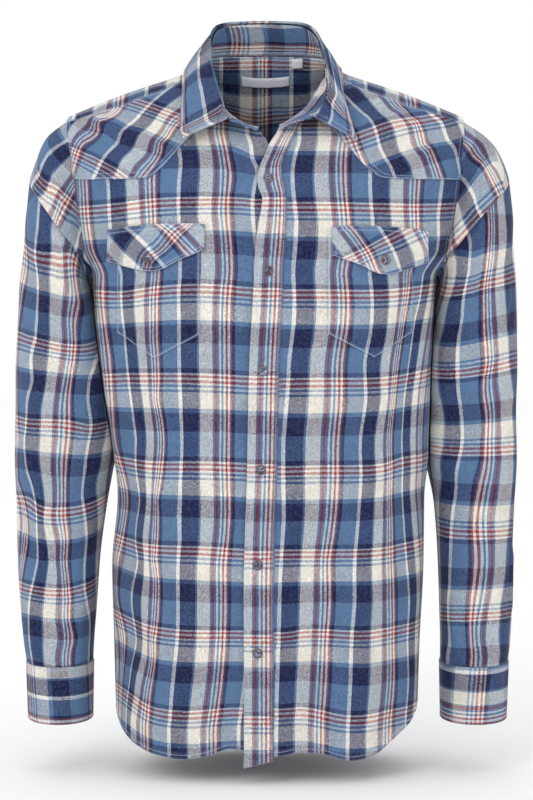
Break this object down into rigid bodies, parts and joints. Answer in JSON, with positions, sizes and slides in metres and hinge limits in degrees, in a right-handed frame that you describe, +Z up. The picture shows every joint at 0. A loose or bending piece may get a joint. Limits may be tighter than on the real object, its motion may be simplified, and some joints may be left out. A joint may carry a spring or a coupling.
{
  "type": "western snap shirt",
  "caption": "Long-sleeved plaid western shirt, filled out as worn and hollow, with pointed yokes, flap pockets, snap front band, turned-down collar and snapped cuffs.",
  "frame": {"origin": "between the wearer's shoulders, in the middle of the neck opening, where the wearer holds the shirt up", "axes": "+Z up; the front faces -Y; +X is the wearer's left; the sleeves hang down"},
  "size_m": [0.5426, 0.2442, 0.7927],
  "materials": {
    "plaid": "brushed cotton plaid of cream, navy, blue and rust red, matt with a short soft nap",
    "snap": "glossy marbled blue-grey cap in a thin copper-coloured rim",
    "label": "bare satin-woven ribbon"
  },
  "bodies": {
    "root": {"back": "plaid", "back_yoke": "plaid", "collar_leaf": "plaid", "collar_stand": "plaid", "cuff_left": "plaid", "cuff_right": "plaid", "front_left": "plaid", "front_right": "plaid", "front_yoke_left": "plaid", "front_yoke_right": "plaid", "main_label": "label", "pocket_flap_left": "plaid", "pocket_flap_right": "plaid", "pocket_left": "plaid", "pocket_right": "plaid", "size_label": "label", "sleeve_left": "plaid", "sleeve_placket_left": "plaid", "sleeve_placket_right": "plaid", "sleeve_right": "plaid", "snap_band": "plaid", "snap_cuff_left_1": "snap", "snap_cuff_left_2": "snap", "snap_cuff_right_1": "snap", "snap_cuff_right_2": "snap", "snap_front_1": "snap", "snap_front_2": "snap", "snap_front_3": "snap", "snap_front_4": "snap", "snap_front_5": "snap", "snap_front_6": "snap", "snap_pocket_left": "snap", "snap_pocket_right": "snap"}
  },
  "joints": []
}
